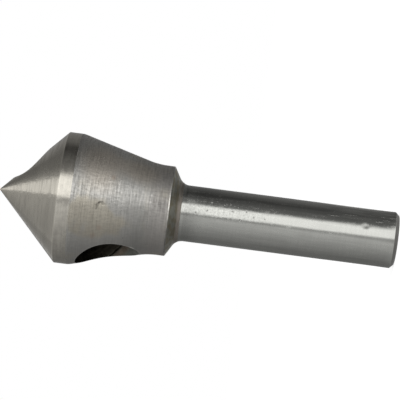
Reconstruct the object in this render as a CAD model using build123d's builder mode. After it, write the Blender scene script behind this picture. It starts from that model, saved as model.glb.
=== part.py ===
from build123d import *

import os
from math import cos, radians, sin, tan

os.makedirs("parts", exist_ok=True)

# A countersink turned and ground from one bar of tool steel. It stands on the end of its
# shank, with its axis on Z and its point up. Lengths are in millimetres, angles in degrees.

overall_length = 85.0
head_diameter = 28.0
shank_diameter = 12.0

# Point and land
point_angle = 92.0
tip_flat_diameter = 0.2
land_length = 3.1
land_blend_radius = 4.5

# Back of the head
back_taper_angle = 15.0
back_blend_radius = 16.0
collar_diameter = 19.2
collar_length = 3.6
collar_edge_radius = 0.3

# Shoulder and neck
shoulder_angle = 60.0
neck_radius = 2.5

# End of the shank
end_chamfer = 0.8

# Slanted hole: its axis leans by hole_angle from the tool's axis towards +X, crosses the
# tool's axis just above the land and is set off from it along Y
hole_diameter = 12.0
hole_angle = 46.0
hole_rise_above_land = 0.2
hole_offset = 0.3

# Radii of the turned body
head_radius = head_diameter / 2
shank_radius = shank_diameter / 2
collar_radius = collar_diameter / 2
tip_radius = tip_flat_diameter / 2

# Heights of its corners, worked out from the point down
cone_height = (head_radius - tip_radius) / tan(radians(point_angle / 2))
taper_height = (head_radius - collar_radius) / tan(radians(back_taper_angle))
shoulder_height = (collar_radius - shank_radius) / tan(radians(shoulder_angle))
land_top = overall_length - cone_height
land_bottom = land_top - land_length
collar_top = land_bottom - taper_height
collar_bottom = collar_top - collar_length
neck = collar_bottom - shoulder_height

# Corners that are turned with a radius
rounded_corners = [
    ((shank_radius, neck), neck_radius),
    ((collar_radius, collar_bottom), collar_edge_radius),
    ((collar_radius, collar_top), back_blend_radius),
    ((head_radius, land_bottom), land_blend_radius),
]

with BuildPart() as countersink_bit:
    # Turned and ground blank, as a half section spun round the axis
    with BuildSketch(Plane.XZ) as half_section:
        with BuildLine():
            Polyline(
                (0, 0),
                (shank_radius - end_chamfer, 0),
                (shank_radius, end_chamfer),
                (shank_radius, neck),
                (collar_radius, collar_bottom),
                (collar_radius, collar_top),
                (head_radius, land_bottom),
                (head_radius, land_top),
                (tip_radius, overall_length),
                (0, overall_length),
                close=True,
            )
        make_face()
        for corner, corner_radius in rounded_corners:
            fillet(half_section.vertices().sort_by_distance(corner)[0], radius=corner_radius)
    revolve(axis=Axis.Z)

    # Slanted through hole, from the cone to the taper: its edge on the cone is the cutting lip
    hole_direction = (sin(radians(hole_angle)), 0, cos(radians(hole_angle)))
    hole_centre = (0, hole_offset, land_top + hole_rise_above_land)
    with Locations(Plane(origin=hole_centre, z_dir=hole_direction)):
        Hole(radius=hole_diameter / 2)

countersink_bit.part.label = "countersink_bit"
export_step(countersink_bit.part, "parts/countersink_bit.step")
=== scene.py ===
from math import cos, pi, radians, sin, tan

import bpy
from mathutils import Matrix, Vector


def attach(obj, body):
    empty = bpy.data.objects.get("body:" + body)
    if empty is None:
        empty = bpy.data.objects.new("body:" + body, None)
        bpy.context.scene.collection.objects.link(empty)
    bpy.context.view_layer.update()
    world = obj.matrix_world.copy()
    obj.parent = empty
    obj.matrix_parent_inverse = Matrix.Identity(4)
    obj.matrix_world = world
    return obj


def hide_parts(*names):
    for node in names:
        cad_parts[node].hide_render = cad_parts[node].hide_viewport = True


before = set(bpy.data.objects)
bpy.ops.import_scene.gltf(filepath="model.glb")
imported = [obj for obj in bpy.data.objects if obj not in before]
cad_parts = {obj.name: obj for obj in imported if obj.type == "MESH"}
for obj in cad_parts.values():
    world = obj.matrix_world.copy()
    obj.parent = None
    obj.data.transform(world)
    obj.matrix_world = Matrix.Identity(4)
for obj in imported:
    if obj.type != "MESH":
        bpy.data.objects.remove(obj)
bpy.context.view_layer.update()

MM = 0.001

# Sizes of the tool. It stands on the end of its shank, with its axis on Z and its point up
overall_length = 85.0 * MM
head_radius = 14.0 * MM
shank_radius = 6.0 * MM
collar_radius = 9.6 * MM
tip_radius = 0.1 * MM
point_half_angle = radians(46.0)
land_length = 3.1 * MM
back_taper_angle = radians(15.0)
collar_length = 3.6 * MM
shoulder_angle = radians(60.0)
end_chamfer = 0.8 * MM

# Roundings of the corners, where the last two only take the razor edge off, and the bend from
# which an edge is shaded sharp
land_blend_radius = 4.5 * MM
back_blend_radius = 16.0 * MM
collar_edge_radius = 0.3 * MM
neck_radius = 2.5 * MM
land_edge_radius = 0.12 * MM
chamfer_edge_radius = 0.15 * MM
crease_angle = radians(22.0)

# Slanted hole, from the cone on the +X side down to the taper on the -X side
hole_radius = 6.0 * MM
hole_angle = radians(46.0)
hole_rise_above_land = 0.2 * MM
hole_offset = 0.3 * MM
drill_length = 70.0 * MM

# Dent near the end of the shank, round and shallow, at degrees round the axis, and how many times
# closer than elsewhere the rings of the mesh are there
dent_turn = radians(-84.0)
dent_height = 7.1 * MM
dent_radius = 1.15 * MM
dent_depth = 0.07 * MM
dent_fineness = 8.0

# Heights of the corners, worked out from the point down
land_top = overall_length - (head_radius - tip_radius) / tan(point_half_angle)
land_bottom = land_top - land_length
collar_top = land_bottom - (head_radius - collar_radius) / tan(back_taper_angle)
collar_bottom = collar_top - collar_length
neck_height = collar_bottom - (collar_radius - shank_radius) / tan(shoulder_angle)
hole_height = land_top + hole_rise_above_land

# Directions of the photograph: towards the camera and up the picture, both level
camera_turn = radians(16.2)
picture_roll = radians(7.4)
to_camera = Vector((-sin(camera_turn), -cos(camera_turn), 0.0))
picture_up = Vector((cos(camera_turn), -sin(camera_turn), 0.0))
tool_axis = Vector((0.0, 0.0, 1.0))

# Where the camera stands and what it aims at: down the tool from its point, down the picture, and
# towards the camera. The picture's width is measured where it aims
camera_stand = (50.235 * MM, -3.11 * MM, 431.3 * MM)
camera_aim = (42.575 * MM, -3.19 * MM, 0.0)
picture_width = 85.12 * MM

# Studio: the cards that the steel mirrors. The wall stands round the tool, the table lies round
# its foot, and the shelf, which the back of the head mirrors, is between them. The land mirrors
# the upper wall, and the rim of the cone the high wall. Each card is graded by a table of places
# and levels of light. The places are degrees from the camera over the top of the picture, and the
# ceiling's are distances up the picture
wall_radius = 300 * MM
upper_wall_height = 68 * MM
high_wall_height = 150 * MM
ceiling_height = 365 * MM
back_card_height = 80 * MM
back_card_half_width = 99 * MM
back_card_distance = 291 * MM
shelf_height = 46.6 * MM
shelf_reach = (16 * MM, 64 * MM)
foot_reach = (0.6 * shank_radius, 1.2 * shank_radius)
floor_gap = 0.02 * MM
card_sides = 180
brightest_card = 1.4
ambient_level = 0.7
paper_grey = 0.3
paper_glow = 0.8
floor_reach = 4.0
wall_levels = [
    (-180, 0.22), (-150, 0.175), (-132, 0.17), (-106, 0.195), (-60, 0.35), (-12, 0.59), (-7, 0.53),
    (-4, 0.37), (0.5, 0.42), (6.5, 1.25), (34, 1.30), (39, 1.04), (45, 0.28), (50.5, 0.16),
    (75, 0.105), (95, 0.06), (118, 0.12), (140, 0.175), (180, 0.22),
]
upper_wall_levels = [
    (-180, 0.22), (-150, 0.165), (-132, 0.18), (-106, 0.225), (-60, 0.365), (-35, 0.51),
    (-14, 0.63), (-9, 0.50), (-4.5, 0.40), (-1.5, 0.46), (4.5, 1.26), (12, 1.32), (33, 1.25),
    (37, 0.98), (40, 0.68), (45, 0.33), (50, 0.24), (55, 0.185), (63, 0.14), (75, 0.10),
    (86, 0.055), (97, 0.055), (116, 0.145), (140, 0.19), (180, 0.22),
]
high_wall_levels = [
    (-180, 0.33), (-161, 0.38), (-153, 0.275), (-145, 0.275), (-132, 0.25), (-106, 0.22),
    (-60, 0.365), (-14, 0.60), (0, 0.42), (6.5, 1.22), (34, 1.27), (50, 0.20), (75, 0.10),
    (110, 0.10), (130, 0.145), (141, 0.165), (149, 0.235), (161, 0.27), (180, 0.33),
]
table_levels = [
    (-180, 0.90), (-164, 0.90), (-156, 0.16), (-106, 0.185), (-60, 0.33), (-12, 0.58), (-4, 0.42),
    (0.5, 0.42), (6.5, 1.22), (34, 1.27), (38.5, 1.04), (45.5, 0.28), (53, 0.16), (85, 0.09),
    (150, 0.18), (160, 0.90), (180, 0.90),
]
shelf_levels = [
    (-180, 0.28), (-106, 0.165), (-60, 0.265), (-12, 0.52), (0.5, 0.405), (6.5, 1.13), (34, 1.17),
    (46, 0.55), (58, 0.33), (88, 0.21), (180, 0.27),
]
foot_levels = [(-180, 0.25), (-90, 0.30), (0, 0.44), (60, 0.44), (120, 0.25), (180, 0.25)]
ceiling_levels = [
    (-300 * MM, 0.36), (-190 * MM, 0.345), (-160 * MM, 0.325), (-53 * MM, 0.41), (2 * MM, 0.42),
    (12 * MM, 0.92), (71 * MM, 0.90), (90 * MM, 0.34), (126 * MM, 0.185), (168 * MM, 0.165),
    (190 * MM, 0.15), (300 * MM, 0.15),
]


# Node trees written as sums


class Wire:
    """A socket of a node tree. Sums written with it add Math nodes to the tree."""

    def __init__(self, graph, socket):
        self.graph = graph
        self.socket = socket

    def math(self, operation, *values):
        return self.graph.math(operation, *values)

    def __add__(self, other):
        return self.math("ADD", self, other)

    def __radd__(self, other):
        return self.math("ADD", other, self)

    def __sub__(self, other):
        return self.math("SUBTRACT", self, other)

    def __rsub__(self, other):
        return self.math("SUBTRACT", other, self)

    def __mul__(self, other):
        return self.math("MULTIPLY", self, other)

    def __rmul__(self, other):
        return self.math("MULTIPLY", other, self)

    def __truediv__(self, other):
        return self.math("DIVIDE", self, other)

    def __gt__(self, other):
        return self.math("GREATER_THAN", self, other)

    def __lt__(self, other):
        return self.math("LESS_THAN", self, other)


class Graph:
    """Adds nodes to one tree: node() for any of them, the rest for those used often."""

    def __init__(self, tree):
        self.tree = tree

    def node(self, kind, settings=None, inputs=None, output=0):
        """A new node's output. stops, among the settings, are the places and colours of a ramp."""
        made = self.tree.nodes.new(kind)
        for name, value in (settings or {}).items():
            if name == "stops":
                self.set_stops(made.color_ramp, value)
            else:
                setattr(made, name, value)
        for name, value in (inputs or {}).items():
            if isinstance(value, Wire):
                self.tree.links.new(value.socket, made.inputs[name])
            else:
                made.inputs[name].default_value = value
        return Wire(self, made.outputs[output]) if made.outputs else made

    @staticmethod
    def set_stops(ramp, stops):
        while len(ramp.elements) < len(stops):
            ramp.elements.new(1.0)
        for element, (place, tone) in zip(ramp.elements, stops):
            element.position = place
            element.color = tone

    def math(self, operation, *values):
        return self.node("ShaderNodeMath", {"operation": operation}, dict(enumerate(values)))

    def vector(self, x, y, z):
        return self.node("ShaderNodeCombineXYZ", {}, {0: x, 1: y, 2: z})

    def parts(self, vector):
        return [self.node("ShaderNodeSeparateXYZ", {}, {0: vector}, i) for i in range(3)]

    def noise(self, place, detail=2.0, roughness=0.5):
        settings = {"noise_dimensions": "3D"}
        inputs = {"Vector": place, "Scale": 1.0, "Detail": detail, "Roughness": roughness}
        return self.node("ShaderNodeTexNoise", settings, inputs)

    def ease(self, value, start, end, low=0.0, high=1.0):
        """From low to high as value goes from start to end, with soft ends."""
        settings = {"interpolation_type": "SMOOTHSTEP"}
        inputs = {"Value": value, "From Min": start, "From Max": end, "To Min": low, "To Max": high}
        return self.node("ShaderNodeMapRange", settings, inputs)

    def blend(self, share, first, second, mode="MIX"):
        """Colour first, with second laid over it by share."""
        # The sockets for colours share their names with those for numbers, so they go by place
        settings = {"data_type": "RGBA", "blend_type": mode}
        return self.node("ShaderNodeMix", settings, {0: share, 6: first, 7: second}, 2)


def colour(red, green, blue):
    return (red, green, blue, 1.0)


# Camera


def place_by_picture(down_tool, down_picture, towards_camera):
    """The place this far down the tool from its point, down the picture, and towards the camera."""
    place = Vector((0.0, 0.0, overall_length)) - tool_axis * down_tool
    return place - picture_up * down_picture + to_camera * towards_camera


def set_camera():
    """The camera of the photograph, turned so that the tool lies across the picture."""
    data = bpy.data.cameras.new("camera")
    data.sensor_width = 36.0
    data.clip_start = 0.01
    data.clip_end = 50.0
    camera = bpy.data.objects.new("camera", data)
    bpy.context.collection.objects.link(camera)
    stand = place_by_picture(*camera_stand)
    aim = place_by_picture(*camera_aim)
    data.lens = data.sensor_width * (stand - aim).length / picture_width
    back = (stand - aim).normalized()
    right = -cos(picture_roll) * tool_axis + sin(picture_roll) * picture_up
    right = (right - right.dot(back) * back).normalized()
    up = back.cross(right)
    turn = Matrix((right, up, back)).transposed().to_4x4()
    camera.matrix_world = Matrix.Translation(stand) @ turn
    bpy.context.scene.camera = camera


# Studio


def plain_mesh(name, points, faces, material):
    mesh = bpy.data.meshes.new(name)
    mesh.from_pydata(points, [], faces)
    mesh.materials.append(material)
    made = bpy.data.objects.new(name, mesh)
    bpy.context.collection.objects.link(made)
    return made


def new_material(name):
    material = bpy.data.materials.new(name)
    material.use_nodes = True
    material.node_tree.nodes.clear()
    return material, Graph(material.node_tree)


def seen_by_eye_or_metal(graph):
    """1 for the camera's rays and for those that polished metal or glass sends on."""
    rays = ["Is Camera Ray", "Is Glossy Ray", "Is Transmission Ray"]
    seen = [graph.node("ShaderNodeLightPath", {}, {}, name) for name in rays]
    return graph.math("MAXIMUM", graph.math("MAXIMUM", seen[0], seen[1]), seen[2])


def set_world():
    """A white world, which lights the object at the ambient level."""
    world = bpy.data.worlds.new("studio")
    world.use_nodes = True
    world.node_tree.nodes.clear()
    graph = Graph(world.node_tree)
    strength = seen_by_eye_or_metal(graph) * (1.0 - ambient_level) + ambient_level
    light = graph.node("ShaderNodeBackground", {}, {"Color": colour(1, 1, 1), "Strength": strength})
    graph.node("ShaderNodeOutputWorld", {}, {"Surface": light})
    bpy.context.scene.world = world


def floor_material():
    """White paper: the eye and the metal see it at full white, less the shadow on it."""
    material, graph = new_material("white_floor")
    paper = graph.node("ShaderNodeBsdfDiffuse", {}, {"Color": colour(*[paper_grey] * 3)})
    strength = seen_by_eye_or_metal(graph) * paper_glow
    glow = graph.node("ShaderNodeEmission", {}, {"Color": colour(1, 1, 1), "Strength": strength})
    both = graph.node("ShaderNodeAddShader", {}, {0: paper, 1: glow})
    graph.node("ShaderNodeOutputMaterial", {}, {"Surface": both})
    return material


def graded_material(name, place_on_card, levels):
    """The material of a card that sends out grey light by its table of places and levels."""
    material, graph = new_material(name)
    first, last = levels[0][0], levels[-1][0]
    stops = [
        ((place - first) / (last - first), colour(*[level / brightest_card] * 3))
        for place, level in levels
    ]
    place = (place_on_card(graph) - first) / (last - first)
    grade = graph.node("ShaderNodeValToRGB", {"stops": stops}, {"Fac": place})
    glow = graph.node("ShaderNodeEmission", {}, {"Color": grade, "Strength": brightest_card})
    graph.node("ShaderNodeOutputMaterial", {}, {"Surface": glow})
    return material


def places_in_picture(graph):
    """How far a point of a card is towards the camera and up the picture."""
    x, y, _ = graph.parts(graph.node("ShaderNodeTexCoord", {}, {}, "Object"))
    return x * to_camera.x + y * to_camera.y, x * picture_up.x + y * picture_up.y


def angle_round_tool(graph):
    """Degrees round the tool, from the camera over the top of the picture."""
    out, up = places_in_picture(graph)
    return graph.math("ARCTAN2", up, out) * (180 / pi)


def place_up_picture(graph):
    """Metres from the tool's axis, up the picture."""
    return places_in_picture(graph)[1]


def hide_from_all_but_metal(card):
    card.visible_camera = False
    card.visible_diffuse = False
    card.visible_transmission = False
    card.visible_shadow = False


def mirror_card(name, points, faces, material):
    """A card that only the steel mirrors. It isn't part of the object."""
    card = plain_mesh(name, points, faces, material)
    hide_from_all_but_metal(card)


def ring_of_points(radius, height):
    turns = [2 * pi * i / card_sides for i in range(card_sides)]
    return [(radius * cos(turn), radius * sin(turn), height) for turn in turns]


def ring_card(name, levels, low, high):
    """A card right round the tool, between two rings that are each a radius and a height."""
    points = ring_of_points(*low) + ring_of_points(*high)
    pairs = [(i, (i + 1) % card_sides) for i in range(card_sides)]
    faces = [(here, ahead, card_sides + ahead, card_sides + here) for here, ahead in pairs]
    mirror_card(name, points, faces, graded_material(name, angle_round_tool, levels))


def set_mirror_cards():
    """The walls, shelf, table, foot, ceiling and back that the steel mirrors, as graded cards."""
    for name, levels, bottom, top in (
        ("card_wall", wall_levels, floor_gap, upper_wall_height),
        ("card_upper_wall", upper_wall_levels, upper_wall_height, high_wall_height),
        ("card_high_wall", high_wall_levels, high_wall_height, ceiling_height),
    ):
        ring_card(name, levels, (wall_radius, bottom), (wall_radius, top))
    for name, levels, height, inside, outside in (
        ("card_shelf", shelf_levels, shelf_height, *shelf_reach),
        ("card_table", table_levels, floor_gap, foot_reach[1], wall_radius),
        ("card_foot", foot_levels, floor_gap, *foot_reach),
    ):
        ring_card(name, levels, (inside, height), (outside, height))
    ceiling = graded_material("card_ceiling", place_up_picture, ceiling_levels)
    points = ring_of_points(wall_radius, ceiling_height)
    mirror_card("card_ceiling", points, [tuple(range(card_sides))], ceiling)
    # A piece of the table's light stands upright behind the tool
    behind = to_camera * -back_card_distance
    aside = picture_up * back_card_half_width
    upward = tool_axis * back_card_height
    points = [behind - aside, behind + aside, behind + aside + upward, behind - aside + upward]
    back = graded_material("card_back", angle_round_tool, table_levels)
    mirror_card("card_back", points, [(0, 1, 2, 3)], back)


def set_lamp():
    """A large soft lamp, which lays the shadow on the floor."""
    lamp = bpy.data.lights.new("overhead_lamp", "AREA")
    lamp.shape = "SQUARE"
    lamp.size = 0.8
    lamp.energy = 4.0
    holder = bpy.data.objects.new("overhead_lamp", lamp)
    stand = Vector((0.1, -0.3, 0.9))
    holder.location = stand
    holder.rotation_euler = (-stand).to_track_quat("-Z", "Y").to_euler()
    holder.visible_glossy = False
    bpy.context.collection.objects.link(holder)


def set_studio():
    set_world()
    signs = [(-1, -1), (1, -1), (1, 1), (-1, 1)]
    corners = [(x * floor_reach, y * floor_reach, 0) for x, y in signs]
    plain_mesh("floor", corners, [(0, 1, 2, 3)], floor_material())
    set_mirror_cards()
    set_lamp()


# Finishes


class Finish:
    """A steel finish in the tool's own coordinates. All its lengths are in millimetres."""

    def __init__(self, name):
        self.material, self.graph = new_material(name)
        place = self.graph.node("ShaderNodeTexCoord", {}, {}, "Object")
        self.x, self.y, self.z = [part / MM for part in self.graph.parts(place)]
        self.radius = self.root(self.x * self.x + self.y * self.y)
        # The direction out from the axis, where a hair is added so that nothing is divided by 0
        self.out_x = self.x / (self.radius + 0.001)
        self.out_y = self.y / (self.radius + 0.001)

    def root(self, value):
        return self.graph.math("SQRT", value)

    def absolute(self, value):
        return self.graph.math("ABSOLUTE", value)

    def rings(self, spacing, breaks, seed):
        """Marks of turning and grinding round the tool, shorter the larger breaks is."""
        graph = self.graph
        place = graph.vector(self.out_x * breaks + seed, self.out_y * breaks, self.z / spacing)
        return graph.ease(graph.noise(place, 2.0, 0.6), 0.33, 0.67, -0.5, 0.5)

    def streaks(self, spacing, length, seed):
        """Faint marks that run lengthwise. spacing is a share of the radius."""
        graph = self.graph
        place = graph.vector(self.out_x / spacing + seed, self.out_y / spacing, self.z / length)
        return graph.ease(graph.noise(place, 1.0, 0.5), 0.33, 0.67, -0.5, 0.5)

    def clouds(self, size, seed, detail=2.0):
        """Soft patches of about this size."""
        graph = self.graph
        place = graph.vector(self.x / size + seed, self.y / size, self.z / size)
        return graph.noise(place, detail, 0.55) - 0.5

    def pits(self, spacing, size, share, seed):
        """Small round pits, in this share of the cells that the spacing gives."""
        graph = self.graph
        place = graph.vector(self.x / spacing + seed, self.y / spacing, self.z / spacing)
        settings = {"voronoi_dimensions": "3D", "feature": "F1"}
        far = graph.node("ShaderNodeTexVoronoi", settings, {"Vector": place, "Scale": 1.0}, "Distance")
        cell = graph.node("ShaderNodeTexVoronoi", settings, {"Vector": place, "Scale": 1.0}, "Color")
        chosen = graph.parts(cell)[0] < share
        return graph.ease(far, size / spacing, 0.4 * size / spacing) * chosen

    def facing(self, turn):
        """1 where the surface faces degrees round the axis, falling to -1 on the far side."""
        return self.out_x * cos(radians(turn)) + self.out_y * sin(radians(turn))

    def round_and_up(self, turn, height):
        """Millimetres round the tool and up it from a spot, and 1 on that side of the tool."""
        angle = radians(turn)
        round_tool = self.y * cos(angle) - self.x * sin(angle)
        return round_tool, self.z - height, self.facing(turn) > 0.0

    def spot(self, turn, height, wide, long, core=0.3):
        """An oval mark at degrees round the axis and at a height: 1 inside it, 0 outside."""
        round_tool, up, near_side = self.round_and_up(turn, height)
        across, along = round_tool / wide, up / long
        far = self.root(across * across + along * along)
        return self.graph.ease(far, 1.0, core) * near_side

    def spots(self, places):
        """Oval marks, each with what spot() takes: degrees, height, half width, half length, core."""
        total = self.spot(*places[0])
        for place in places[1:]:
            total = total + self.spot(*place)
        return total

    def band(self, middle, half, soft):
        """1 at a height and for half its width either way, with soft sides."""
        return self.graph.ease(self.absolute(self.z - middle), half + soft, half)

    def hole(self):
        """Millimetres from the slanted hole's axis, and up it from where it passes the tool's."""
        x, y, z = self.x, self.y - hole_offset / MM, self.z - hole_height / MM
        along = x * sin(hole_angle) + z * cos(hole_angle)
        return self.root(x * x + y * y + z * z - along * along), along

    def hole_edge(self, width):
        """1 on the edge of the hole, falling to 0 over a width."""
        return self.graph.ease(self.hole()[0], hole_radius / MM + width, hole_radius / MM)

    def tint(self, base, level):
        """A plain base colour made lighter or darker by a level round 1."""
        return self.graph.vector(*[level * part for part in base])

    def shade(self, base, level):
        """The same for a base colour that changes over the surface."""
        return self.graph.blend(1.0, base, self.graph.vector(level, level, level), "MULTIPLY")

    def finish(self, base, roughness, height, depth, anisotropy):
        """The finished material. Where height is 1, the bump stands out by depth in millimetres."""
        graph = self.graph
        bump = graph.node("ShaderNodeBump", {}, {"Distance": depth * MM, "Height": height})
        shader = graph.node(
            "ShaderNodeBsdfPrincipled",
            {},
            {
                "Base Color": base,
                "Metallic": 1.0,
                "Roughness": roughness,
                "Anisotropic": anisotropy,
                "Anisotropic Rotation": 0.25,
                "Normal": bump,
            },
        )
        graph.node("ShaderNodeOutputMaterial", {}, {"Surface": shader})
        return self.material


def ground_cone():
    """The cone, ground round the axis."""
    steel = Finish("ground_cone")
    rings = steel.rings(0.24, 2.5, 3.0) * 0.35 + steel.rings(0.42, 1.2, 11.0) * 0.6
    broad = steel.rings(2.6, 0.5, 21.0)
    patches = steel.clouds(4.0, 2.0)
    # lip and rim lighten the base round the hole and along the land's edge: painted highlights on
    # those edges
    lip = steel.hole_edge(0.3)
    rim = steel.band(land_top / MM + 0.08, 0.1, 0.12)
    level = rings * 0.2 + broad * 0.05 + patches * 0.15 + lip * 0.2 + rim * 0.2 + 0.98
    base = steel.tint((0.60, 0.57, 0.50), level)
    rough = 0.18 - rings * 0.28 + broad * 0.03 + patches * 0.08
    height = steel.clouds(0.8, 5.0) + steel.streaks(0.05, 1.5, 6.0) * 0.2
    return steel.finish(base, rough, height, 0.012, 0.5)


def ground_land():
    """The land behind the cone, ground brighter than the rest."""
    steel = Finish("ground_land")
    rings = steel.rings(0.5, 2.0, 5.0)
    patches = steel.clouds(1.0, 2.0)
    specks = steel.pits(1.1, 0.17, 0.35, 6.0)
    # edge lightens the base along the land's front edge: a painted highlight
    edge = steel.band(land_top / MM - 0.06, 0.05, 0.15)
    level = rings * 0.12 + patches * 0.4 + edge * 0.12 + 0.97
    base = steel.tint((0.655, 0.625, 0.555), level)
    rough = 0.17 + patches * 0.2 + rings * 0.05 + specks * 0.2
    height = steel.clouds(0.6, 8.0) + rings * 0.1 - specks
    return steel.finish(base, rough, height, 0.01, 0.5)


# Arched scratch on the taper, as degrees round the axis, height, and radius of its arc
scratch_turn = -109.5
scratch_height = 62.45
scratch_radius = 0.78

# Marks on the taper, each as degrees round the axis, height, half width, half length, and for
# some of them the share of the mark that has its full strength
worn_mark = (-88.5, 53.2, 3.2, 2.9, 0.5)
dull_mark = (-99.0, 50.3, 2.2, 2.0, 0.2)
rubbed_mark = (-92.0, 54.0, 3.0, 2.6, 0.2)
faintly_rubbed_mark = (-99.0, 65.0, 3.5, 3.0, 0.2)
olive_marks = [(-121.0, 65.0, 5.3, 6.0, 0.6), (-128.0, 60.5, 4.0, 4.5)]
# The tan marks are a tan stain made lighter than the taper's grey: partly stain, partly painted
# highlight
tan_marks_with_painted_light = [(-68.0, 63.5, 8.0, 6.0), (-60.0, 55.5, 4.3, 6.0)]
rust_marks = [(-131.0, 62.3, 0.9, 0.7), (-78.6, 60.6, 0.8, 0.7), (-140.0, 63.5, 1.2, 0.8)]
black_dot = (-112.3, 63.3, 0.36, 0.3)
grey_dot = (-106.3, 62.95, 0.32, 0.3)
# A painted glint in the arched scratch
painted_glint_in_scratch = (-108.8, 61.95, 0.5, 0.4)
# A painted glint at a corner of the hole's edge
painted_glint_at_hole_corner = (-159.0, 55.1, 1.6, 0.9)


def arched_scratch(steel):
    """A short scratch bent like an arch on the side of the taper, fainter at one end."""
    round_tool, up, near_side = steel.round_and_up(scratch_turn, scratch_height)
    wander = steel.clouds(0.35, 41.0, 1.0) * 0.5
    far = steel.root(round_tool * round_tool + up * up) + wander
    line = steel.graph.ease(steel.absolute(far - scratch_radius), 0.42, 0.06)
    open_side = round_tool * -0.87 + up * -0.5
    strength = steel.graph.ease(up, -0.7, 0.1, 0.4, 1.0)
    return line * steel.graph.ease(open_side, 0.22, -0.05) * strength * near_side


def marks_on_taper(steel, scratch, specks, dull):
    """How much lighter or darker its single marks and the hole's edge make the taper. The lighter ones
    are painted highlights: a glint in the scratch, a line round the hole's edge and a glint at its
    corner.
    """
    dark_dots = steel.spot(*black_dot) * 0.4 + steel.spot(*grey_dot) * 0.22
    # corner is the painted glint at the hole's corner, and bright sums the painted highlights
    corner = steel.hole_edge(0.5) * steel.spot(*painted_glint_at_hole_corner)
    bright = steel.spot(*painted_glint_in_scratch) * 0.07 + steel.hole_edge(0.3) * 0.22 + corner * 0.9
    return bright - dark_dots - scratch * 0.45 - specks * 0.35 - dull * 0.1


def tints_on_taper(steel, collar, patches, broad):
    """The taper's grey, with olive on one side, tan on the other, made lighter there as painted
    highlight, and spots of rust.
    """
    graph = steel.graph
    olive = steel.spots(olive_marks) * 0.5 + patches + broad * 0.15
    base = graph.blend(collar, colour(0.49, 0.482, 0.456), colour(0.502, 0.482, 0.455))
    base = graph.blend(graph.ease(olive, 0.0, 0.5), base, colour(0.508, 0.476, 0.405))
    base = graph.blend(steel.spots(tan_marks_with_painted_light), base, colour(0.58, 0.537, 0.473))
    return graph.blend(steel.spots(rust_marks) * 0.5, base, colour(0.44, 0.36, 0.29))


def turned_taper():
    """The tapered back and its collar, turned, with marks along and round it."""
    steel = Finish("turned_taper")
    graph = steel.graph
    rings = steel.rings(0.26, 1.8, 7.0) * 0.9 + steel.rings(0.36, 5.0, 17.0) * 0.5
    streaks = steel.streaks(0.035, 1.1, 9.0)
    grain = steel.clouds(0.3, 14.0, 1.0)
    broad = steel.rings(2.5, 0.8, 27.0)
    patches = steel.clouds(4.0, 4.0)
    specks = steel.pits(1.5, 0.18, 0.25, 3.0)
    scratch = arched_scratch(steel)
    back = graph.ease(steel.z, collar_top / MM + 8.0, collar_top / MM + 2.0)
    collar = graph.ease(steel.z, collar_top / MM + 2.0, collar_top / MM - 1.0)
    calm = graph.ease(steel.facing(-170.0), 0.55, 0.95, 1.0, 0.35)
    rubbed = steel.spot(*rubbed_mark) + steel.spot(*faintly_rubbed_mark) * 0.4
    worn = steel.pits(0.8, 0.32, 0.5, 51.0) * steel.spot(*worn_mark)
    dull = steel.spot(*dull_mark)
    weave = (rings + streaks * 0.6 + grain * (0.9 - back * 0.35 - collar * 0.2)) * calm
    strength = 0.19 - back * 0.05 - collar * 0.03
    level = weave * (strength * 0.4 + 0.14) + broad * 0.05 + patches * 0.1 + 1.02
    level = level * (1.04 - back * 0.18 + collar * 0.01) + rubbed * 0.08 + worn * 0.16
    level = level + marks_on_taper(steel, scratch, specks, dull)
    base = steel.shade(tints_on_taper(steel, collar, patches, broad), level)
    rough = 0.43 + collar * 0.11 - weave * strength + patches * 0.06
    rough = rough + specks * 0.1 - worn * 0.1 + dull * 0.06
    height = rings * 0.5 + streaks * 0.3 + grain * (0.7 - back * 0.4) - scratch * 1.2 - specks
    return steel.finish(base, rough, height, 0.03, 0.15)


# Brightest part of the painted highlight on the collar's rear edge, given as the marks on the taper
# are
painted_highlight_on_collar_edge = (-91.0, 48.5, 7.5, 9.0, 0.3)


def collar_edge_with_painted_highlight():
    """The collar's rear edge, nicked, with a painted highlight: a light base, lightest at one spot."""
    steel = Finish("collar_edge_with_painted_highlight")
    nicks = steel.streaks(0.06, 1.0, 33.0)
    # rubbed is the spot where the painted highlight is lightest; the whole edge has a light base as
    # painted highlight
    rubbed = steel.spot(*painted_highlight_on_collar_edge)
    base = steel.tint((0.72, 0.70, 0.65), (nicks * 0.3 + 1.0) * (rubbed * 0.7 + 0.45))
    rough = 0.33 + nicks * 0.06
    return steel.finish(base, rough, nicks, 0.01, 0.0)


def turned_shoulder():
    """The shoulder behind the collar, left as turned, with a brown stain."""
    steel = Finish("turned_shoulder")
    graph = steel.graph
    rings = steel.rings(0.3, 1.6, 19.0)
    patches = steel.clouds(1.6, 6.0)
    stain = graph.ease(patches + rings * 0.1, -0.12, 0.15)
    base = graph.blend(stain, colour(0.278, 0.278, 0.243), colour(0.238, 0.217, 0.165))
    foot = graph.ease(steel.z + patches * 0.5, neck_height / MM + 0.55, neck_height / MM + 0.35)
    base = graph.blend(foot, base, colour(0.35, 0.32, 0.28))
    base = steel.shade(base, rings * 0.3 + 1.0)
    rough = 0.57 + patches * 0.25
    return steel.finish(base, rough, rings * 0.4 + patches, 0.02, 0.2)


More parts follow.
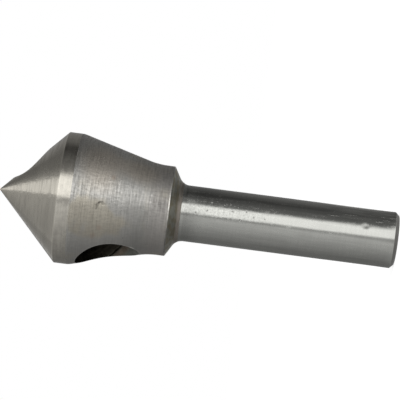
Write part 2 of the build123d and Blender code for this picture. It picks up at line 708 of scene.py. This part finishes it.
# Marks on the shank, given as those on the taper are
handled_mark = (-84.0, 36.0, 5.0, 9.0, 0.1)
smudges_by_dent = [(-77.0, 7.7, 0.5, 0.9), (-78.5, 5.9, 0.5, 0.6)]
shank_pits = [
    (-93.6, 40.5, 0.3, 0.26),
    (-95.9, 40.6, 0.24, 0.2),
    (-101.8, 42.9, 0.36, 0.28),
    (-90.0, 35.2, 0.22, 0.5),
    (-86.5, 32.3, 0.34, 0.26),
    (-97.5, 30.7, 0.38, 0.28),
    (-106.3, 33.5, 0.4, 0.28),
    (-97.8, 28.3, 0.3, 0.24),
    (-77.6, 39.8, 0.36, 0.28),
    (-73.6, 38.7, 0.26, 0.4),
    (-76.5, 35.8, 0.34, 0.26),
]
shank_scratches = [
    (-57.8, 3.7, 0.17, 1.0),
    (-57.5, 1.6, 0.2, 1.1),
    (-66.0, 2.9, 0.15, 1.5),
    (-72.0, 4.4, 0.2, 1.2),
    (-63.0, 10.5, 0.15, 2.4),
    (-70.0, 14.0, 0.15, 1.8),
]


def polished_shank():
    """The shank, ground and polished, mottled and pitted in places, scratched near its end."""
    steel = Finish("polished_shank")
    graph = steel.graph
    rings = steel.rings(0.5, 1.2, 23.0)
    streaks = steel.streaks(0.09, 6.0, 29.0)
    wave = steel.streaks(0.3, 9.0, 37.0)
    grain = steel.clouds(0.6, 18.0)
    rubbed = graph.ease(steel.clouds(9.0, 31.0) + steel.spot(*handled_mark) * 0.4, 0.1, 0.4)
    pits = steel.pits(0.9, 0.16, 0.4, 12.0) * rubbed + steel.spots(shank_pits)
    scratches = steel.spots(shank_scratches)
    scuffs = graph.ease(streaks * 0.4 + grain * 1.6, 0.02, 0.4)
    smudge = steel.spots(smudges_by_dent)
    drawn = graph.ease(steel.z, 22.0, 8.0) * graph.ease(steel.facing(-35.0), 0.66, 0.85)
    # Darker just below the neck on the side facing -150 degrees: painted shade under the head
    painted_shade_below_neck = graph.ease(steel.z + grain * 2.0, 41.0, 45.5)
    painted_shade_below_neck = painted_shade_below_neck * graph.ease(steel.facing(-150.0), 0.35, 0.85)
    # A ring just below the neck made lighter: a painted highlight
    painted_highlight_ring = steel.band(neck_height / MM - 0.68, 0.2, 0.15)
    mottled = steel.clouds(0.4, 43.0) * graph.ease(steel.z, 23.0, 32.0)
    mottled = mottled * graph.ease(steel.facing(-93.0), 0.92, 0.98)
    # Darker on the side facing -45 degrees, more so towards the neck: painted shade
    painted_shade_towards_neck = graph.ease(steel.z, 20.0, 36.0) * 0.11 + graph.ease(steel.z, 34.0, 43.0) * 0.27
    painted_shade_towards_neck = painted_shade_towards_neck * graph.ease(steel.facing(-45.0), 0.84, 0.93)
    level = rings * 0.04 + streaks * (drawn * 0.3 + 0.06) + grain * rubbed * 0.55 + 1.0
    level = level + painted_highlight_ring * 0.12 - painted_shade_below_neck * 0.24 - painted_shade_towards_neck + mottled * 0.85
    base = steel.tint((0.57, 0.573, 0.54), level - pits * 0.22)
    rough = 0.145 + scuffs * 0.14 + pits * 0.3 + scratches * 0.5 + smudge * 0.08
    height = grain * (rubbed * 1.1 + 0.2) + wave * 0.5 + streaks * 0.15 - pits * 1.5
    return steel.finish(base, rough, height, 0.012, 0.5)


def shank_end():
    """The chamfer and the flat end of the shank, with arcs from the tool that faced it."""
    steel = Finish("shank_end")
    graph = steel.graph
    place = graph.vector(steel.radius / 0.3, steel.out_x * 0.8, steel.out_y * 0.8)
    arcs = graph.noise(place) - 0.5
    patches = steel.clouds(1.5, 8.0)
    # The base is half as light as the shank's: painted shade at the foot
    base = steel.tint((0.285, 0.28, 0.265), arcs * 0.7 + patches * 0.4 + 1.0)
    rough = 0.36 + patches * 0.15
    return steel.finish(base, rough, arcs, 0.01, 0.2)


# A line round the wall of the slanted hole, made darker, at the inner end of its lighter part: its
# place up the hole from where the hole passes the tool's axis
line_round_hole_place = -15.15


def drilled_hole():
    """The wall of the slanted hole, with painted shade: near black deep inside, lighter grey near the
    opening on the taper, with a line round it and brown stain.
    """
    steel = Finish("drilled_hole")
    graph = steel.graph
    along = steel.hole()[1]
    place = graph.vector(along / 0.5, steel.out_x * 2.0, steel.out_y * 2.0)
    rings = graph.noise(place, 3.0, 0.6) - 0.5
    patches = steel.clouds(1.6, 13.0)
    line_round_hole = graph.ease(steel.absolute(along - line_round_hole_place + patches * 0.4), 0.3, 0.05)
    outer = graph.ease(along, -15.2, -16.0)
    stain = graph.ease(along, -17.6, -16.4)
    # Painted shade: the base is near black deep in the hole and lighter grey towards the taper's
    # opening
    base = graph.blend(outer, colour(0.075, 0.068, 0.053), colour(0.22, 0.225, 0.20))
    base = graph.blend(outer * stain, base, colour(0.21, 0.175, 0.14))
    base = steel.shade(base, rings * 0.9 + patches * 1.6 + 0.95 - line_round_hole * 0.75)
    rough = 0.45 + patches * 0.3
    return steel.finish(base, rough, patches + rings - line_round_hole, 0.03, 0.0)


# The tool


def half_section():
    """Corners of half the lengthwise section: radius, height, rounding, and how many times
    closer than elsewhere the rings of the mesh are on the run that follows."""
    around_dent = 1.4 * dent_radius
    return [
        (0.0, 0.0, 0.0, 1.0),
        (shank_radius - end_chamfer, 0.0, chamfer_edge_radius, 1.0),
        (shank_radius, end_chamfer, chamfer_edge_radius, 1.0),
        (shank_radius, dent_height - around_dent, 0.0, dent_fineness),
        (shank_radius, dent_height + around_dent, 0.0, 1.0),
        (shank_radius, neck_height, neck_radius, 1.0),
        (collar_radius, collar_bottom, collar_edge_radius, 1.0),
        (collar_radius, collar_top, back_blend_radius, 1.0),
        (head_radius, land_bottom, land_blend_radius, 1.0),
        (head_radius, land_top, land_edge_radius, 1.0),
        (tip_radius, overall_length, 0.0, 1.0),
        (0.0, overall_length, 0.0, 1.0),
    ]


def section_object():
    """The half section as a line of edges, with each corner's last two values kept on it."""
    corners = half_section()
    mesh = bpy.data.meshes.new("half_section")
    points = [(corner[0], 0.0, corner[1]) for corner in corners]
    mesh.from_pydata(points, [(i, i + 1) for i in range(len(points) - 1)], [])
    for place, name in ((2, "rounding"), (3, "fineness")):
        kept = mesh.attributes.new(name, "FLOAT", "POINT")
        kept.data.foreach_set("value", [corner[place] for corner in corners])
    made = bpy.data.objects.new("half_section", mesh)
    bpy.context.collection.objects.link(made)
    return made


def rounded_section(graph, section, steps, spacing):
    """The half section as a curve, with its corners rounded and its long runs divided."""
    curve = graph.node("GeometryNodeMeshToCurve", {}, {"Mesh": section})
    rounding, fineness = [
        graph.node("GeometryNodeInputNamedAttribute", {"data_type": "FLOAT"}, {"Name": name})
        for name in ("rounding", "fineness")
    ]
    curve = graph.node(
        "GeometryNodeFilletCurve",
        {"mode": "POLY"},
        {"Curve": curve, "Count": steps, "Radius": rounding, "Limit Radius": True},
    )
    index = graph.node("GeometryNodeInputIndex")
    here = graph.node("GeometryNodeInputPosition")
    ahead = graph.node(
        "GeometryNodeFieldAtIndex",
        {"data_type": "FLOAT_VECTOR", "domain": "POINT"},
        {"Index": index + 1, "Value": here},
    )
    gap = graph.node("ShaderNodeVectorMath", {"operation": "DISTANCE"}, {0: here, 1: ahead}, "Value")
    cuts = graph.math("FLOOR", gap * fineness / spacing)
    return graph.node("GeometryNodeSubdivideCurve", {}, {"Curve": curve, "Cuts": cuts})


def spun_section(graph, curve, segments):
    """The body that the half section makes when it's spun round Z."""
    rows = graph.node("GeometryNodeAttributeDomainSize", {"component": "CURVE"}, {"Geometry": curve})
    columns = segments + 1
    grid = graph.node("GeometryNodeMeshGrid", {}, {"Vertices X": rows, "Vertices Y": columns})
    index = graph.node("GeometryNodeInputIndex")
    row = graph.math("FLOOR", (index + 0.5) / columns)
    column = index - row * columns
    place = graph.node(
        "GeometryNodeSampleIndex",
        {"data_type": "FLOAT_VECTOR", "domain": "POINT"},
        {"Geometry": curve, "Value": graph.node("GeometryNodeInputPosition"), "Index": row},
    )
    radius, _, height = graph.parts(place)
    angle = column * (-2 * pi) / segments
    turned = graph.vector(
        radius * graph.math("COSINE", angle), radius * graph.math("SINE", angle), height
    )
    body = graph.node("GeometryNodeSetPosition", {}, {"Geometry": grid, "Position": turned})
    return graph.node("GeometryNodeMergeByDistance", {}, {"Geometry": body, "Distance": 0.001 * MM})


def dented_body(graph, body, sizes):
    """The body with a shallow dent in the side of its shank."""
    x, y, z = graph.parts(graph.node("GeometryNodeInputPosition"))
    out_x, out_y = cos(dent_turn), sin(dent_turn)
    round_tool = y * out_x - x * out_y
    up = z - dent_height
    far = graph.math("SQRT", round_tool * round_tool + up * up)
    near_side = (x * out_x + y * out_y) > 0.0
    depth = graph.ease(far, 0.0, dent_radius, sizes["Dent Depth"], 0.0) * near_side
    inward = graph.vector(depth * -out_x, depth * -out_y, 0.0)
    return graph.node("GeometryNodeSetPosition", {}, {"Geometry": body, "Offset": inward})


def drilled_body(graph, body, sizes, material):
    """The body less its slanted hole, whose wall has a material of its own."""
    drill = graph.node(
        "GeometryNodeMeshCylinder",
        {"fill_type": "NGON"},
        {
            "Vertices": sizes["Hole Segments"],
            "Radius": sizes["Hole Radius"],
            "Depth": drill_length,
        },
    )
    drill = graph.node(
        "GeometryNodeTransform",
        {},
        {
            "Geometry": drill,
            "Rotation": graph.vector(0.0, sizes["Hole Lean"], 0.0),
            "Translation": graph.vector(0.0, sizes["Hole Offset"], sizes["Hole Height"]),
        },
    )
    drill = graph.node("GeometryNodeSetMaterial", {}, {"Geometry": drill, "Material": material})
    return graph.node(
        "GeometryNodeMeshBoolean",
        {"operation": "DIFFERENCE", "solver": "MANIFOLD"},
        {"Mesh 1": body, "Mesh 2": drill},
    )


def smooth_but_for_edges(graph, body):
    """The body shaded smooth, but for edges that bend more than the crease angle."""
    body = graph.node("GeometryNodeSetShadeSmooth", {"domain": "FACE"}, {"Geometry": body})
    bend = graph.node("GeometryNodeInputMeshEdgeAngle")
    return graph.node(
        "GeometryNodeSetShadeSmooth",
        {"domain": "EDGE"},
        {"Geometry": body, "Selection": bend > crease_angle, "Shade Smooth": False},
    )


def tool_tree(sizes, zones, hole_material):
    """Geometry nodes that spin, drill and finish the tool. zones is (lowest height, material)."""
    tree = bpy.data.node_groups.new("spun_and_drilled", "GeometryNodeTree")
    graph = Graph(tree)
    face = tree.interface
    face.new_socket("Section", in_out="INPUT", socket_type="NodeSocketGeometry")
    for name, value in sizes.items():
        kind = "NodeSocketInt" if isinstance(value, int) else "NodeSocketFloat"
        face.new_socket(name, in_out="INPUT", socket_type=kind)
    face.new_socket("Tool", in_out="OUTPUT", socket_type="NodeSocketGeometry")
    given = tree.nodes.new("NodeGroupInput")
    wires = {socket.name: Wire(graph, socket) for socket in given.outputs if socket.name}

    curve = rounded_section(graph, wires["Section"], wires["Corner Steps"], wires["Ring Spacing"])
    body = dented_body(graph, spun_section(graph, curve, wires["Segments"]), wires)
    body = graph.node("GeometryNodeSetMaterial", {}, {"Geometry": body, "Material": zones[0][1]})
    body = drilled_body(graph, body, wires, hole_material)
    body = smooth_but_for_edges(graph, body)
    body = graph.node("GeometryNodeRealizeInstances", {}, {"Geometry": body})
    in_hole = graph.node("GeometryNodeMaterialSelection", {}, {"Material": hole_material})
    height = graph.parts(graph.node("GeometryNodeInputPosition"))[2]
    for lowest, material in zones[1:]:
        chosen = graph.node(
            "FunctionNodeBooleanMath", {"operation": "NIMPLY"}, {0: height > lowest, 1: in_hole}
        )
        inputs = {"Geometry": body, "Selection": chosen, "Material": material}
        body = graph.node("GeometryNodeSetMaterial", {}, inputs)
    graph.node("NodeGroupOutput", {}, {0: body})
    return tree


def drop_empty_slots(mesh):
    """Takes out the slots without a material that the cut leaves, and renumbers the faces."""
    kept = [i for i, material in enumerate(mesh.materials) if material]
    materials = [mesh.materials[i] for i in kept]
    slots = [kept.index(face.material_index) for face in mesh.polygons]
    mesh.materials.clear()
    for material in materials:
        mesh.materials.append(material)
    mesh.polygons.foreach_set("material_index", slots)


def make_tool():
    sizes = {
        "Segments": 288,
        "Corner Steps": 14,
        "Ring Spacing": 1.0 * MM,
        "Dent Depth": dent_depth,
        "Hole Radius": hole_radius,
        "Hole Lean": hole_angle,
        "Hole Offset": hole_offset,
        "Hole Height": hole_height,
        "Hole Segments": 192,
    }
    # Each finish starts at a height, a little off its corner where that corner is rounded
    zones = [
        (0.0, shank_end()),
        (end_chamfer, polished_shank()),
        (neck_height - 0.38 * MM, turned_shoulder()),
        (collar_bottom - 0.12 * MM, collar_edge_with_painted_highlight()),
        (collar_bottom + 0.22 * MM, turned_taper()),
        (land_bottom + 0.35 * MM, ground_land()),
        (land_top, ground_cone()),
    ]
    tree = tool_tree(sizes, zones, drilled_hole())
    worked = section_object()
    modifier = worked.modifiers.new("spun_and_drilled", "NODES")
    modifier.node_group = tree
    for item in tree.interface.items_tree:
        if item.in_out == "INPUT" and item.name in sizes:
            modifier[item.identifier] = sizes[item.name]

    depsgraph = bpy.context.evaluated_depsgraph_get()
    evaluated = worked.evaluated_get(depsgraph)
    mesh = bpy.data.meshes.new_from_object(evaluated, depsgraph=depsgraph)
    mesh.name = "countersink_steel"
    drop_empty_slots(mesh)
    tool = bpy.data.objects.new("countersink_steel", mesh)
    bpy.context.collection.objects.link(tool)
    worked.modifiers.clear()
    bpy.data.objects.remove(worked)
    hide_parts("countersink_bit")
    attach(tool, "root")


bpy.context.scene.view_settings.view_transform = "Standard"
set_camera()
set_studio()
make_tool()

bpy.context.view_layer.update()
